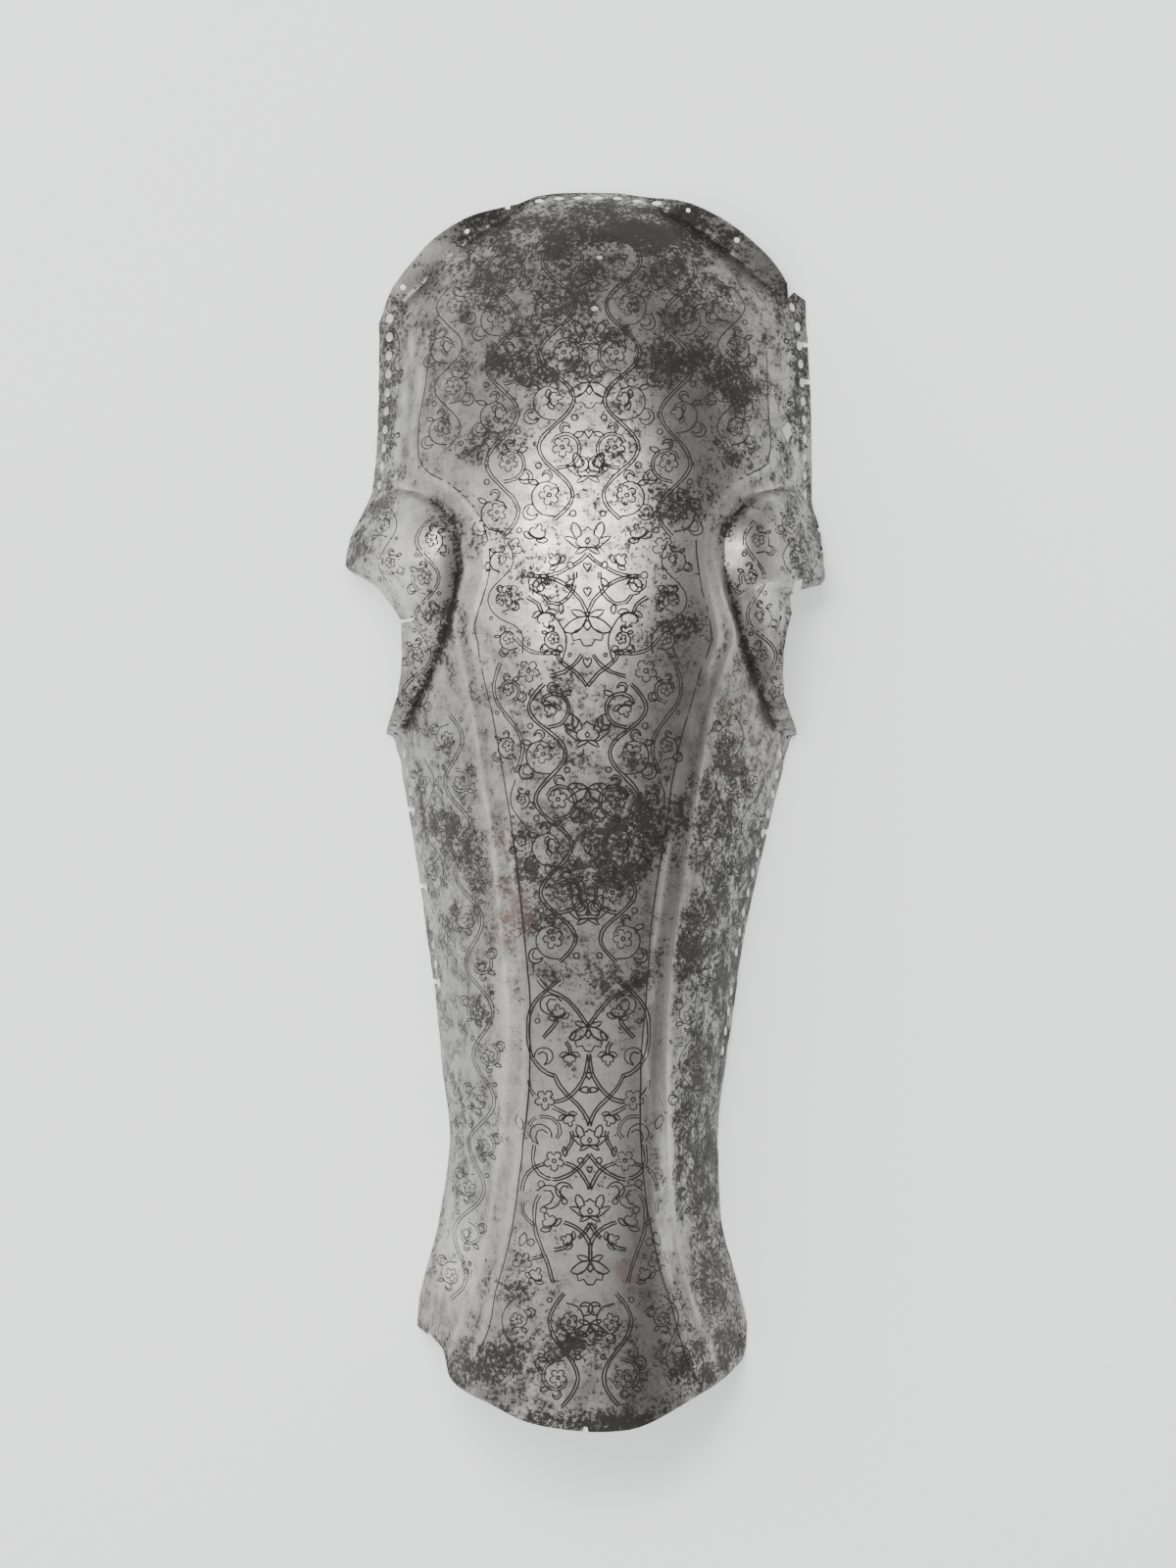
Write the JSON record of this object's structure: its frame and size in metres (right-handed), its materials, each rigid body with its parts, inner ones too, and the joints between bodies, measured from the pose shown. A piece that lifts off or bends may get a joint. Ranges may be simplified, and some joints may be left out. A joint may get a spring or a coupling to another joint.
{
  "type": "horse head armour",
  "caption": "Shaffron: a hammered steel plate for a horse's face, with eye hoods, ear flanges, raised bands, lacing holes and an engraved arabesque.",
  "frame": {"origin": "centre of the footprint, on the surface that the plate lies on", "axes": "+Y from the nose end to the poll, +Z out of the forehead, +X across the face"},
  "size_m": [0.2268, 0.5802, 0.0956],
  "materials": {
    "worn_steel": "worn, engraved and patinated"
  },
  "bodies": {
    "root": {"shaffron_plate": "worn_steel"}
  },
  "joints": []
}
